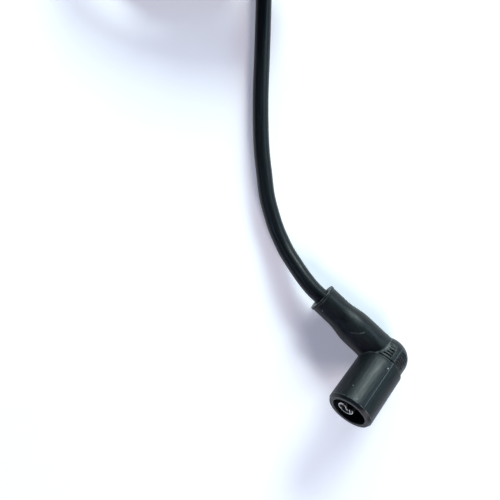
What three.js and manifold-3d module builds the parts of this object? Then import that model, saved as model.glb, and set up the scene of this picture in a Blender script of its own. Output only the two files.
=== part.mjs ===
// A spark plug lead: a jacketed ignition cable with a right-angle rubber boot and its stamped terminal on
// the coil end, and a straight boot and terminal on the plug end. The coil boot rests on its elbow with its
// mouth raised, the cable lies on the surface, and its spare length is wound in a tied coil.
// Millimetres, +Z up, with the origin on the surface under the middle of the coil boot.
import * as THREE from "three";
import { mergeVertices } from "three/addons/utils/BufferGeometryUtils.js";
import Module from "manifold-3d";

const wasm = await Module();
wasm.setup();

// Driving dimensions: the cable, the sheet metal and the gap between pieces that touch
const CLEARANCE = 0.3;
const CABLE_DIAMETER = 7;
const SHEET_THICKNESS = 0.5;

// How the coil boot lies
const MOUTH_RISE_DEG = 28.2;
const SLEEVE_FALL_DEG = 0.4;
const SLEEVE_TURN_DEG = 1.3;

// Coil boot: the elbow and the barrel, along the barrel's axis from where the sleeve's axis crosses it
const BARREL_REAR_RADIUS = 9.8;
const BARREL_MOUTH_RADIUS = 9.9;
const MOUTH_REACH = 30.5;
const MOUTH_TAPER_LENGTH = 1.3;
const MOUTH_TAPER_DEPTH = 0.8;
const BORE_RADIUS = 7.4;
const BORE_CHAMFER = 0.3;
const BORE_FLOOR_AT = 8;
const STEP_AT = 5;
const STEP_ROUND = 0.6;
const STEP_GROOVE_WIDTH = 0.7;
const STEP_GROOVE_DEPTH = 0.4;
const ELBOW_RADIUS = 9;
const ELBOW_TAIL = 8.2;
const ELBOW_ROUND = 8;

// Coil boot: the grip grooves pressed into the elbow on both sides of the mould's parting line
const GRIP_COUNT = 5;
const GRIP_PITCH = 1.3;
const GRIP_WIDTH = 0.6;
const GRIP_DEPTH = 0.35;
const GRIP_FIRST_AT = 3.1;
const GRIP_BACK_REACH = 5;
const PARTING_BAND = 0.8;

// Coil boot: the sleeve, along its own axis from the barrel's axis
const SLEEVE_BASE_RADIUS = 7.8;
const SLEEVE_WAIST_RADIUS = 7.55;
const SLEEVE_TAPER_FROM = 17.7;
const SLEEVE_TAPER_TO = 28.5;
const SLEEVE_REACH = 37.9;
const NECK_RADIUS = 6.25;
const LIP_RADIUS = 6.55;
const LIP_LENGTH = 1.1;
const LIP_ROUND = 0.3;
const LIP_FLARE = 0.7;

// Coil terminal: a socket rolled from sheet, a strap round the elbow and a crimp on the cable
const SOCKET_RADIUS = 3.45;
const SOCKET_RECESS = 0.2;
const SOCKET_LENGTH = 16;
const SOCKET_OFFSET = 1.8;
const SOCKET_ROLL_FROM_DEG = -39;
const SOCKET_ROLL_TO_DEG = 236;
const TONGUE_LENGTH = 9;
const TONGUE_CURL = [[3, 0.5], [2, -1.4], [1, -1.35], [-0.1, -0.25], [-1.1, 0.25]];
const EDGE_FOLD = [[-2.95, 0.7], [-1.05, -1.6]];
const STRAP_WIDTH = 2.4;
const STRAP_BEND_RADIUS = 2;
const STRAP_OVERLAP = 2;
const CRIMP_FROM = 3.5;
const CRIMP_LENGTH = 8;
const CRIMP_GAP = 1.6;
const CABLE_END_AT = 2;

// Plug boot, along its axis from the lip where the cable enters
const PLUG_BOOT_LENGTH = 60;
const PLUG_BODY_RADIUS = 9.2;
const PLUG_BEAD_RADIUS = 9.9;
const PLUG_BEAD_LENGTH = 3.4;
const PLUG_BEAD_ROUND = 0.7;
const PLUG_TAPER_FROM = 9;
const PLUG_TAPER_TO = 20;
const PLUG_BORE_RADIUS = 6.6;
const PLUG_BORE_DEPTH = 32;
const PLUG_RIB_COUNT = 3;
const PLUG_RIB_PITCH = 3.2;
const PLUG_RIB_HEIGHT = 0.3;
const PLUG_RIB_WIDTH = 1.4;
const PLUG_RIB_FIRST_AT = 38;

// Plug terminal: a straight socket and crimp
const PLUG_CRIMP_FROM = 11;
const PLUG_CRIMP_LENGTH = 8;
const PLUG_SOCKET_FROM = 22;
const PLUG_SOCKET_LENGTH = 12;
const PLUG_SOCKET_RADIUS = 3.8;
const PLUG_SLOT_WIDTH = 1.4;
const PLUG_CABLE_DEPTH = 18;

// The stored coil: one turn on the surface, and a second that starts on top of it and then curves in across
// the coil to the plug boot, which lies on it. Angles are in the plan view, from +X.
const COIL_RADIUS = 35;
const COIL_CENTRE = [187.1, -91.2];
const COIL_ENTRY_DEG = 224.5;
const COIL_LIFT_OFF_DEG = 106.6;
const CROSSING_RADIUS = 28.5;
const CROSSING_OFFSET = [10.3, 5.2];
const CROSSING_TURN_DEG = 163.4;
const TIE_THICKNESS = 0.7;
const TIE_WIDTH = 6;
const TIE_SLACK = 1.4;
const TIE_AT_DEG = 305;
const PLUG_LIP_HEIGHT = 21;
const PLUG_LEAD_IN = 4;
const PLUG_CLIMB_DEG = 1.5;

// Where the cable runs on the surface, from the sleeve to the coil
const LEAD_ROUTE = [
  [29, -10.3, 8.6], [33.8, -10.8, 8.1], [39.2, -11.8, 7.1], [44.1, -12.9, 6], [49, -14.2, 4.9],
  [53.5, -15.9, 4.1], [57.9, -17.7, 3.6], [64, -20.9, 3.5], [71, -25.1, 3.5], [78.6, -31.1, 3.5],
  [87.1, -38.1, 3.5], [96, -46.5, 3.5], [105.2, -55.9, 3.5], [114.6, -66.2, 3.5], [124.1, -76.5, 3.5],
  [132.5, -85.5, 3.6], [139, -92.1, 4], [146.2, -99.5, 4.4],
];

// How finely round forms are cut into flats
const ROUND_SIDES = 40;
const COIL_SIDES = 48;
const CABLE_SIDES = 10;
const ARC_STEPS = 6;
const CABLE_STEP = 2 * CABLE_DIAMETER;

const CABLE_RADIUS = CABLE_DIAMETER / 2;
const CABLE_BORE_RADIUS = CABLE_RADIUS + CLEARANCE;
const CRIMP_RADIUS = CABLE_BORE_RADIUS + SHEET_THICKNESS;
const CAVITY_RADIUS = CRIMP_RADIUS + CLEARANCE;
const COIL_HEIGHT = TIE_THICKNESS + CLEARANCE + CABLE_RADIUS;
const UPPER_TURN_HEIGHT = COIL_HEIGHT + CABLE_DIAMETER + CLEARANCE;

const rubber = new THREE.MeshStandardMaterial({ color: 0x22282a, roughness: 0.55, metalness: 0 });
const jacket = new THREE.MeshStandardMaterial({ color: 0x1d2325, roughness: 0.45, metalness: 0 });
const steel = new THREE.MeshStandardMaterial({ color: 0xb9bbb8, roughness: 0.35, metalness: 1 });
const strapping = new THREE.MeshStandardMaterial({ color: 0x17191a, roughness: 0.6, metalness: 0 });

const radians = THREE.MathUtils.degToRad;

// Points on an arc of a profile, from one angle to the other
function arc(centre, radius, fromDeg, toDeg, steps = ARC_STEPS) {
  return Array.from({ length: steps + 1 }, (unused, i) => {
    const angle = radians(fromDeg + ((toDeg - fromDeg) * i) / steps);
    return [centre[0] + radius * Math.cos(angle), centre[1] + radius * Math.sin(angle)];
  });
}

function plane(points) {
  return points.map(([x, y]) => new THREE.Vector2(x, y));
}

// Points on a soft S between two radii of a profile
function easedTaper(fromRadius, fromHeight, toRadius, toHeight) {
  return Array.from({ length: ARC_STEPS + 1 }, (unused, i) => {
    const share = i / ARC_STEPS;
    const ease = (1 - Math.cos(Math.PI * share)) / 2;
    return [fromRadius + (toRadius - fromRadius) * ease, fromHeight + (toHeight - fromHeight) * share];
  });
}

// A profile of [radius, height] points, turned about +Z
function turned(profile, sides = ROUND_SIDES) {
  return new THREE.LatheGeometry(plane(profile), sides).rotateX(Math.PI / 2);
}

function cylinder(radius, from, to, sides = ROUND_SIDES) {
  return turned([[0, from], [radius, from], [radius, to], [0, to]], sides);
}

// A closed mesh as a solid that can be joined and cut
function solid(geometry) {
  const bare = geometry.clone();
  bare.deleteAttribute("normal");
  bare.deleteAttribute("uv");
  const merged = mergeVertices(bare, 1e-4);
  return new wasm.Manifold(new wasm.Mesh({
    numProp: 3,
    vertProperties: merged.attributes.position.array,
    triVerts: new Uint32Array(merged.index.array),
  }));
}

function joined(...geometries) {
  return geometries.map(solid).reduce((whole, next) => whole.add(next));
}

function meshOf(made, name, material) {
  const { vertProperties, triVerts } = made.getMesh();
  const geometry = new THREE.BufferGeometry();
  geometry.setAttribute("position", new THREE.BufferAttribute(vertProperties, 3));
  geometry.setIndex(new THREE.BufferAttribute(triVerts, 1));
  geometry.computeVertexNormals();
  return named(geometry, name, material);
}

function named(geometry, name, material) {
  const mesh = new THREE.Mesh(geometry, material);
  mesh.name = name;
  return mesh;
}

// The outline of a strip of sheet whose middle follows a run of 2-D points
function sheetOutline(points) {
  const half = SHEET_THICKNESS / 2;
  const sides = [[], []];
  points.forEach((point, i) => {
    const before = points[Math.max(i - 1, 0)];
    const after = points[Math.min(i + 1, points.length - 1)];
    const along = new THREE.Vector2().subVectors(after, before).normalize();
    const across = new THREE.Vector2(-along.y, along.x).multiplyScalar(half);
    sides[0].push(new THREE.Vector2().subVectors(point, across));
    sides[1].unshift(new THREE.Vector2().addVectors(point, across));
  });
  return new THREE.Shape([...sides[0], ...sides[1]]);
}

function extruded(outline, depth) {
  return new THREE.ExtrudeGeometry(outline, { depth, bevelEnabled: false, curveSegments: ARC_STEPS });
}

// Sheet rolled about +Z into part of a tube
function rolled(outerRadius, fromDeg, toDeg, from, length) {
  const middle = outerRadius - SHEET_THICKNESS / 2;
  const points = plane(arc([0, 0], middle, fromDeg, toDeg, 3 * ARC_STEPS));
  return extruded(sheetOutline(points), length).translate(0, 0, from);
}

// A narrow strip of sheet along a run of [x, z] points
function strap(points) {
  const strip = extruded(sheetOutline(plane(points)), STRAP_WIDTH);
  return strip.rotateX(Math.PI / 2).translate(0, STRAP_WIDTH / 2, 0);
}

// Sheet rolled round the cable, open along its seam on the -X side
function crimp(from, length) {
  const halfGapDeg = THREE.MathUtils.radToDeg(CRIMP_GAP / 2 / CRIMP_RADIUS);
  return rolled(CRIMP_RADIUS, halfGapDeg - 180, 180 - halfGapDeg, from, length);
}

// The elbow and the barrel as one turned form, with the grip grooves cut before the sleeve joins it
function barrelSolid() {
  const domeCentre = [ELBOW_RADIUS - ELBOW_ROUND, ELBOW_ROUND - ELBOW_TAIL];
  const stepCentre = [BARREL_REAR_RADIUS - STEP_ROUND, STEP_AT + STEP_ROUND];
  const grooveRadius = ELBOW_RADIUS - STEP_GROOVE_DEPTH;
  const body = solid(turned([
    [0, -ELBOW_TAIL],
    ...arc(domeCentre, ELBOW_ROUND, -90, 0),
    [ELBOW_RADIUS, STEP_AT - STEP_GROOVE_WIDTH],
    [grooveRadius, STEP_AT - STEP_GROOVE_WIDTH],
    [grooveRadius, STEP_AT],
    ...arc(stepCentre, STEP_ROUND, -90, 0, 3),
    [BARREL_MOUTH_RADIUS, MOUTH_REACH - MOUTH_TAPER_LENGTH],
    [BARREL_MOUTH_RADIUS - MOUTH_TAPER_DEPTH, MOUTH_REACH],
    [0, MOUTH_REACH],
  ]));
  return body.subtract(gripCutter());
}

// Short ring segments, left whole over the back of the elbow and along the parting line
function gripCutter() {
  const outside = 2 * ELBOW_RADIUS;
  const rings = Array.from({ length: GRIP_COUNT }, (unused, i) => {
    const middle = GRIP_FIRST_AT - i * GRIP_PITCH;
    const low = middle - GRIP_WIDTH / 2;
    const high = middle + GRIP_WIDTH / 2;
    const floor = ELBOW_RADIUS - GRIP_DEPTH;
    return turned([[floor, low], [outside, low], [outside, high], [floor, high], [floor, low]]);
  });
  const frontLength = outside - PARTING_BAND;
  const front = new THREE.BoxGeometry(frontLength, 2 * outside, 2 * outside);
  front.translate(PARTING_BAND + frontLength / 2, 0, 0);
  const backLength = GRIP_BACK_REACH - PARTING_BAND;
  const back = new THREE.BoxGeometry(backLength, 2 * outside, 2 * outside);
  back.translate(-PARTING_BAND - backLength / 2, 0, 0);
  return joined(...rings).intersect(joined(front, back));
}

// The outside of the sleeve, turned about +Z and laid along +X
function sleeveGeometry() {
  const lipFrom = SLEEVE_REACH - LIP_LENGTH;
  return turned([
    [0, 0],
    [SLEEVE_BASE_RADIUS, 0],
    ...easedTaper(SLEEVE_WAIST_RADIUS, SLEEVE_TAPER_FROM, NECK_RADIUS, SLEEVE_TAPER_TO),
    [NECK_RADIUS, lipFrom - LIP_ROUND],
    [LIP_RADIUS, lipFrom],
    [LIP_RADIUS, SLEEVE_REACH - LIP_ROUND],
    [LIP_RADIUS - LIP_ROUND, SLEEVE_REACH],
    [0, SLEEVE_REACH],
  ]).rotateY(Math.PI / 2);
}

// The way for the cable through a sleeve, opened at the lip, turned about +Z from the lip inwards
function cableWay(depth) {
  return turned([
    [0, -LIP_FLARE],
    [CABLE_BORE_RADIUS + 2 * LIP_FLARE, -LIP_FLARE],
    [CABLE_BORE_RADIUS, LIP_FLARE],
    [CABLE_BORE_RADIUS, depth],
    [0, depth],
  ]);
}

function coilBootHollow() {
  const chamferTop = MOUTH_REACH + BORE_CHAMFER;
  const bore = turned([
    [0, BORE_FLOOR_AT],
    [BORE_RADIUS, BORE_FLOOR_AT],
    [BORE_RADIUS, MOUTH_REACH - BORE_CHAMFER],
    [BORE_RADIUS + 2 * BORE_CHAMFER, chamferTop],
    [0, chamferTop],
  ]);
  const elbow = cylinder(CAVITY_RADIUS, -CAVITY_RADIUS, BORE_FLOOR_AT + CLEARANCE);
  elbow.translate(SOCKET_OFFSET, 0, 0);
  const crimpEnd = CRIMP_FROM + CRIMP_LENGTH + CLEARANCE;
  const crimpRoom = cylinder(CAVITY_RADIUS, 0, crimpEnd).rotateY(Math.PI / 2);
  const way = cableWay(SLEEVE_REACH).rotateY(-Math.PI / 2).translate(SLEEVE_REACH, 0, 0);
  return joined(bore, elbow, crimpRoom, way);
}

function coilBoot() {
  const outside = barrelSolid().add(solid(sleeveGeometry()));
  return meshOf(outside.subtract(coilBootHollow()), "coil_boot", rubber);
}

// The strap runs down the back of the socket, round the elbow and under the crimp
function strapGeometry() {
  const middle = SHEET_THICKNESS / 2;
  const wallX = SOCKET_OFFSET - SOCKET_RADIUS + middle;
  const floorZ = middle - CRIMP_RADIUS;
  const socketFoot = MOUTH_REACH - SOCKET_RECESS - SOCKET_LENGTH;
  const bendCentre = [wallX + STRAP_BEND_RADIUS, floorZ + STRAP_BEND_RADIUS];
  return strap([
    [wallX, socketFoot + STRAP_OVERLAP],
    ...arc(bendCentre, STRAP_BEND_RADIUS, 180, 270),
    [CRIMP_FROM + STRAP_OVERLAP, floorZ],
  ]);
}

function coilTerminal() {
  const socketTop = MOUTH_REACH - SOCKET_RECESS;
  const socket = rolled(
    SOCKET_RADIUS, SOCKET_ROLL_FROM_DEG, SOCKET_ROLL_TO_DEG, socketTop - SOCKET_LENGTH, SOCKET_LENGTH,
  );
  const curl = new THREE.SplineCurve(plane(TONGUE_CURL)).getPoints(2 * ARC_STEPS);
  const fold = plane(EDGE_FOLD);
  const springs = [curl, fold].map((run) => (
    extruded(sheetOutline(run), TONGUE_LENGTH).translate(0, 0, socketTop - TONGUE_LENGTH)
  ));
  [socket, ...springs].forEach((geometry) => geometry.translate(SOCKET_OFFSET, 0, 0));
  const grip = crimp(CRIMP_FROM, CRIMP_LENGTH).rotateY(Math.PI / 2);
  const made = joined(socket, ...springs, strapGeometry(), grip);
  return meshOf(made, "coil_terminal", steel);
}

function plugRibs() {
  return Array.from({ length: PLUG_RIB_COUNT }, (unused, i) => {
    const from = PLUG_RIB_FIRST_AT + i * PLUG_RIB_PITCH;
    const crown = PLUG_BODY_RADIUS + PLUG_RIB_HEIGHT;
    return [
      [PLUG_BODY_RADIUS, from],
      [crown, from + PLUG_RIB_HEIGHT],
      [crown, from + PLUG_RIB_WIDTH - PLUG_RIB_HEIGHT],
      [PLUG_BODY_RADIUS, from + PLUG_RIB_WIDTH],
    ];
  }).flat();
}

function plugBoot() {
  const beadFrom = PLUG_BOOT_LENGTH - PLUG_BEAD_LENGTH;
  const outside = solid(turned([
    [0, 0],
    [LIP_RADIUS - LIP_ROUND, 0],
    [LIP_RADIUS, LIP_ROUND],
    [LIP_RADIUS, LIP_LENGTH],
    [NECK_RADIUS, LIP_LENGTH + LIP_ROUND],
    ...easedTaper(NECK_RADIUS, PLUG_TAPER_FROM, PLUG_BODY_RADIUS, PLUG_TAPER_TO),
    ...plugRibs(),
    [PLUG_BODY_RADIUS, beadFrom - PLUG_BEAD_ROUND],
    [PLUG_BEAD_RADIUS, beadFrom],
    [PLUG_BEAD_RADIUS, PLUG_BOOT_LENGTH - PLUG_BEAD_ROUND],
    [PLUG_BEAD_RADIUS - PLUG_BEAD_ROUND, PLUG_BOOT_LENGTH],
    [0, PLUG_BOOT_LENGTH],
  ]));
  const boreFloor = PLUG_BOOT_LENGTH - PLUG_BORE_DEPTH;
  const hollow = joined(
    cylinder(PLUG_BORE_RADIUS, boreFloor, PLUG_BOOT_LENGTH + CLEARANCE),
    cylinder(CAVITY_RADIUS, PLUG_CRIMP_FROM - CLEARANCE, boreFloor + CLEARANCE),
    cableWay(PLUG_CRIMP_FROM),
  );
  return meshOf(outside.subtract(hollow), "plug_boot", rubber);
}

function plugTerminal() {
  const halfSlotDeg = THREE.MathUtils.radToDeg(PLUG_SLOT_WIDTH / 2 / PLUG_SOCKET_RADIUS);
  const socket = rolled(
    PLUG_SOCKET_RADIUS, halfSlotDeg, 360 - halfSlotDeg, PLUG_SOCKET_FROM, PLUG_SOCKET_LENGTH,
  );
  const grip = crimp(PLUG_CRIMP_FROM, PLUG_CRIMP_LENGTH).rotateZ(Math.PI);
  const middle = SHEET_THICKNESS / 2;
  const link = strap([
    [middle - CRIMP_RADIUS, PLUG_CRIMP_FROM + PLUG_CRIMP_LENGTH - STRAP_OVERLAP],
    [middle - CRIMP_RADIUS, PLUG_CRIMP_FROM + PLUG_CRIMP_LENGTH],
    [middle - PLUG_SOCKET_RADIUS, PLUG_SOCKET_FROM],
    [middle - PLUG_SOCKET_RADIUS, PLUG_SOCKET_FROM + STRAP_OVERLAP],
  ]);
  return meshOf(joined(socket, grip, link), "plug_terminal", steel);
}

// A cable along a run of 3-D points
function cableGeometry(points) {
  const path = new THREE.CatmullRomCurve3(points, false, "centripetal");
  const section = new THREE.Shape();
  section.absarc(0, 0, CABLE_RADIUS, 0, 2 * Math.PI, false);
  return new THREE.ExtrudeGeometry(section, {
    steps: Math.ceil(path.getLength() / CABLE_STEP),
    extrudePath: path,
    curveSegments: CABLE_SIDES / 2,
  });
}

function coilRing() {
  const section = arc([COIL_RADIUS, 0], CABLE_RADIUS, 0, 360, 2 * CABLE_SIDES);
  const ring = named(turned(section, COIL_SIDES), "cable_coil", jacket);
  ring.position.set(...COIL_CENTRE, COIL_HEIGHT);
  return ring;
}

// A flat band round the two turns, on the surface
function coilTie() {
  const innerHalfWidth = CABLE_RADIUS + TIE_SLACK;
  const innerHalfHeight = CABLE_RADIUS + CLEARANCE + (UPPER_TURN_HEIGHT - COIL_HEIGHT) / 2;
  const outer = roundEnded(innerHalfWidth + TIE_THICKNESS, innerHalfHeight + TIE_THICKNESS);
  outer.holes.push(roundEnded(innerHalfWidth, innerHalfHeight));
  const band = named(extruded(outer, TIE_WIDTH).translate(0, 0, -TIE_WIDTH / 2), "coil_tie", strapping);
  band.rotation.x = Math.PI / 2;
  band.position.set(COIL_RADIUS, 0, innerHalfHeight + TIE_THICKNESS);
  const holder = new THREE.Group();
  holder.add(band);
  holder.position.set(...COIL_CENTRE, 0);
  holder.rotation.z = radians(TIE_AT_DEG);
  return holder;
}

// The upper turn, then the curve across the coil, climbing from the turn to the plug boot's lip
function tailRoute() {
  const crossing = COIL_CENTRE.map((value, i) => value + CROSSING_OFFSET[i]);
  const liftOff = COIL_ENTRY_DEG + COIL_LIFT_OFF_DEG;
  const onTurn = arc(COIL_CENTRE, COIL_RADIUS, COIL_ENTRY_DEG, liftOff);
  const across = arc(crossing, CROSSING_RADIUS, liftOff, liftOff + CROSSING_TURN_DEG, 2 * ARC_STEPS);
  return [
    ...onTurn.map(([x, y]) => new THREE.Vector3(x, y, UPPER_TURN_HEIGHT)),
    ...across.map(([x, y], i) => {
      const ease = (1 - Math.cos((Math.PI * i) / (across.length - 1))) / 2;
      return new THREE.Vector3(x, y, UPPER_TURN_HEIGHT + (PLUG_LIP_HEIGHT - UPPER_TURN_HEIGHT) * ease);
    }),
  ];
}

// An outline with half-round ends, top and bottom
function roundEnded(halfWidth, halfHeight) {
  const shape = new THREE.Shape();
  const straight = halfHeight - halfWidth;
  shape.absarc(0, straight, halfWidth, 0, Math.PI, false);
  shape.absarc(0, -straight, halfWidth, Math.PI, 2 * Math.PI, false);
  return shape;
}

// Lowers or raises a group until it touches the surface
function setDown(group) {
  group.position.z -= new THREE.Box3().setFromObject(group, true).min.z;
  group.updateMatrixWorld(true);
}

function coilEnd() {
  const group = new THREE.Group();
  group.add(coilBoot(), coilTerminal());
  const turn = [MOUTH_RISE_DEG - 90, SLEEVE_FALL_DEG, SLEEVE_TURN_DEG].map(radians);
  group.rotation.set(...turn, "ZYX");
  const middle = new THREE.Box3().setFromObject(group, true).getCenter(new THREE.Vector3());
  group.position.set(-middle.x, -middle.y, 0);
  setDown(group);
  return group;
}

// The plug boot carries on from the end of the cable's crossing, after a short straight stretch
function plugEnd(crossingEnd) {
  const group = new THREE.Group();
  group.add(plugBoot(), plugTerminal());
  group.rotation.set(0, radians(90 - PLUG_CLIMB_DEG), radians(COIL_ENTRY_DEG), "ZYX");
  group.position.copy(crossingEnd);
  group.translateZ(PLUG_LEAD_IN);
  group.updateMatrixWorld(true);
  return group;
}

const coil = coilEnd();
const tail = tailRoute();
const plug = plugEnd(tail.at(-1));
const sleevePoint = (reach) => coil.localToWorld(new THREE.Vector3(reach, 0, 0));
const plugPoint = (reach) => plug.localToWorld(new THREE.Vector3(0, 0, reach));
const lead = [
  ...[CABLE_END_AT, SLEEVE_REACH / 3, (2 * SLEEVE_REACH) / 3, SLEEVE_REACH].map(sleevePoint),
  ...LEAD_ROUTE.map((point) => new THREE.Vector3(...point)),
];
tail.push(...[0, PLUG_CABLE_DEPTH / 2, PLUG_CABLE_DEPTH].map(plugPoint));

const sparkPlugLead = new THREE.Group();
sparkPlugLead.add(
  coil,
  named(cableGeometry(lead), "lead_cable", jacket),
  coilRing(),
  coilTie(),
  named(cableGeometry(tail), "cable_tail", jacket),
  plug,
);

export default sparkPlugLead;
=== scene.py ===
import math

import bmesh
import bpy
import numpy as np
from mathutils import Matrix, Vector


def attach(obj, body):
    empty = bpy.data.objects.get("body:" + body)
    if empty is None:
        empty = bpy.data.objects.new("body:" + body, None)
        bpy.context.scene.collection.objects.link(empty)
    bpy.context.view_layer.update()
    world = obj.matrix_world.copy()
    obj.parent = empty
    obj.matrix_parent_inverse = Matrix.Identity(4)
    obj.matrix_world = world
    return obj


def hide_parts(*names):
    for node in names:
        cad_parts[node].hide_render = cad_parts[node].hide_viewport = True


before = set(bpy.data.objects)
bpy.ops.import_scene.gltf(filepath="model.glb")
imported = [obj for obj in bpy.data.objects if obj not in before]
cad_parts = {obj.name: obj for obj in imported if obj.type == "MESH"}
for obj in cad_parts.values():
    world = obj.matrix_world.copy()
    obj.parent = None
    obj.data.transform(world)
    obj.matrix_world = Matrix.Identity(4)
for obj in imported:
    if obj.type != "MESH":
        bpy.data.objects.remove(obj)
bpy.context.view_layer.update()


# Camera
# It looks straight down at the table from about 27 cm, turned so that the cable runs up and out of the top
# of the picture.
CAMERA_PLACE = (0.06004, -0.00326, 0.266)
CAMERA_TURN = -135.5
CAMERA_SENSOR = 36.0
CAMERA_LENS = 43.2
CAMERA_NEAREST = 0.01
camera = bpy.data.objects.new("camera", bpy.data.cameras.new("camera"))
camera.data.sensor_width = CAMERA_SENSOR
camera.data.lens = CAMERA_LENS
camera.data.clip_start = CAMERA_NEAREST
camera.location = CAMERA_PLACE
camera.rotation_euler = (0.0, 0.0, math.radians(CAMERA_TURN))
bpy.context.scene.collection.objects.link(camera)
bpy.context.scene.camera = camera


# Ignition cable
# A 7 mm cable with one round silicone jacket, extruded, so that its only marks are faint draw lines. It
# leaves the coil boot's sleeve and lies on the table, and its spare length is wound in nearly two turns.
MM = 0.001
CABLE_RADIUS = 3.5
CABLE_SIDES = 36
CABLE_STEP = 1.5
SPAN_STEPS = 24
# Its middle runs along the coil boot's sleeve, down to the table and across it, and into the plug boot
SLEEVE_END = 37.9
SLEEVE_STATIONS = (10.0, 24.0, SLEEVE_END)
LEAD_ROUTE = [
    (29.0, -10.3, 8.6), (33.8, -10.8, 8.1), (39.2, -11.8, 7.1), (44.1, -12.9, 6.0), (49.0, -14.2, 4.9),
    (53.5, -15.9, 4.1), (57.9, -17.7, 3.6), (64.0, -20.9, 3.5), (71.0, -25.1, 3.5), (78.6, -31.1, 3.5),
    (87.1, -38.1, 3.5), (96.0, -46.5, 3.5), (105.2, -55.9, 3.5), (114.6, -66.2, 3.5), (124.1, -76.5, 3.5),
    (132.5, -85.5, 3.6), (139.0, -92.1, 4.0), (146.2, -99.5, 4.4), (153.7, -107.2, 4.5),
]
PLUG_STATIONS = (0.0, 9.0, 18.0)
PLUG_HEIGHT = 21.0
# The coil: how far the cable has travelled round it, in degrees, and how high its middle lies
COIL_CENTRE = (187.1, -91.2)
COIL_RADIUS = 35.0
COIL_ENTRY = 224.5
CLIMB_FROM = 275.0
CLIMB_OVER = 75.0
LIFT_OFF = 466.6
COIL_STATIONS = 36
CROSSING_CENTRE = (197.4, -86.0)
CROSSING_RADIUS = 28.5
CROSSING_TURN = 163.4
CROSSING_STATIONS = 13
LOWER_TURN = 4.5
UPPER_TURN = 11.8
JACKET_TONES = ((0.0027, 0.0042, 0.0047, 1.0), (0.0055, 0.0082, 0.0090, 1.0))
JACKET_DUST = (0.12, 0.13, 0.13, 1.0)
JACKET_ROUGHNESS = (0.33, 0.41)


def placed(point, *turns):
    """A matrix in millimetres from a place and turns, each an angle in degrees and an axis. The last turn
    is made first."""
    matrix = Matrix.Translation(Vector(point))
    for angle, axis in turns:
        matrix = matrix @ Matrix.Rotation(math.radians(angle), 4, axis)
    return matrix


# The coil boot's own axes have +Z along the barrel to its mouth and +X along the sleeve
COIL_END = placed((-13.826, -11.265, 8.972), (1.3, "Z"), (0.4, "Y"), (-61.8, "X"))
# The plug boot's own +Z runs from its lip to its mouth
PLUG_END = placed((174.57, -68.47, PLUG_HEIGHT + 0.1), (COIL_ENTRY, "Z"), (88.5, "Y"))


def ease(share):
    return (1.0 - math.cos(math.pi * min(max(share, 0.0), 1.0))) / 2.0


def on_circle(centre, radius, degrees):
    angle = math.radians(degrees)
    return centre[0] + radius * math.cos(angle), centre[1] + radius * math.sin(angle)


def coil_points():
    """One turn on the table, part of a second on top of it, and a curve across them up to the plug boot."""
    points = []
    for travel in np.linspace(0.0, LIFT_OFF, COIL_STATIONS):
        height = LOWER_TURN + (UPPER_TURN - LOWER_TURN) * ease((travel - CLIMB_FROM) / CLIMB_OVER)
        points.append((*on_circle(COIL_CENTRE, COIL_RADIUS, COIL_ENTRY + travel), height))
    for travel in np.linspace(0.0, CROSSING_TURN, CROSSING_STATIONS):
        height = UPPER_TURN + (PLUG_HEIGHT - UPPER_TURN) * ease(travel / CROSSING_TURN)
        place = on_circle(CROSSING_CENTRE, CROSSING_RADIUS, COIL_ENTRY + LIFT_OFF + travel)
        points.append((*place, height))
    return points


def spline_points(points, spacing):
    """Even steps along a centripetal Catmull-Rom curve through the points, and its length."""
    p = np.array(points, float)
    p = np.vstack([2 * p[0] - p[1], p, 2 * p[-1] - p[-2]])
    fine = []
    for a, b, c, d in zip(p[:-3], p[1:-2], p[2:-1], p[3:]):
        t1 = np.linalg.norm(b - a) ** 0.5
        t2 = t1 + np.linalg.norm(c - b) ** 0.5
        t3 = t2 + np.linalg.norm(d - c) ** 0.5
        for t in np.linspace(t1, t2, SPAN_STEPS, endpoint=False):
            u = a * (t1 - t) / t1 + b * t / t1
            v = b * (t2 - t) / (t2 - t1) + c * (t - t1) / (t2 - t1)
            w = c * (t3 - t) / (t3 - t2) + d * (t - t2) / (t3 - t2)
            q = u * (t2 - t) / t2 + v * t / t2
            r = v * (t3 - t) / (t3 - t1) + w * (t - t1) / (t3 - t1)
            fine.append(q * (t2 - t) / (t2 - t1) + r * (t - t1) / (t2 - t1))
    fine = np.array(fine + [p[-2]])
    run = np.concatenate([[0.0], np.cumsum(np.linalg.norm(np.diff(fine, axis=0), axis=1))])
    even = np.linspace(0.0, run[-1], max(2, round(run[-1] / spacing)))
    return np.stack([np.interp(even, run, fine[:, k]) for k in range(3)], 1), even


def grid_faces(rows, columns):
    """Quads between neighbouring rows of a grid that closes round its columns."""
    faces = []
    for low in range(0, (rows - 1) * columns, columns):
        high = low + columns
        for j in range(columns):
            k = (j + 1) % columns
            faces.append((low + j, low + k, high + k, high + j))
    return faces


def fan_faces(centre, first, columns):
    """Triangles from one middle point to a row of a grid that starts at a given point."""
    return [(centre, first + j, first + (j + 1) % columns) for j in range(columns)]


def link_mesh(name, verts, faces, place=None, grain=None, edge=None):
    """A piece from points in millimetres. Grain says where a point lies across and along the moulding,
    and edge says how strong a painted highlight lies on it along an edge."""
    mesh = bpy.data.meshes.new(name)
    mesh.from_pydata([tuple(v) for v in verts], [], [tuple(f) for f in faces])
    layers = (("grain", "FLOAT_VECTOR", "vector", grain), ("edge", "FLOAT", "value", edge))
    for label, kind, key, values in layers:
        if values is not None:
            layer = mesh.attributes.new(label, kind, "POINT")
            layer.data.foreach_set(key, np.asarray(values, np.float32).ravel())
    mesh.transform(Matrix.Scale(MM, 4) @ (place or Matrix.Identity(4)))
    mesh.validate()
    shaping = bmesh.new()
    shaping.from_mesh(mesh)
    bmesh.ops.recalc_face_normals(shaping, faces=shaping.faces)
    shaping.to_mesh(mesh)
    shaping.free()
    mesh.shade_smooth()
    piece = bpy.data.objects.new(name, mesh)
    bpy.context.scene.collection.objects.link(piece)
    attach(piece, "root")
    return piece


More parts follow.
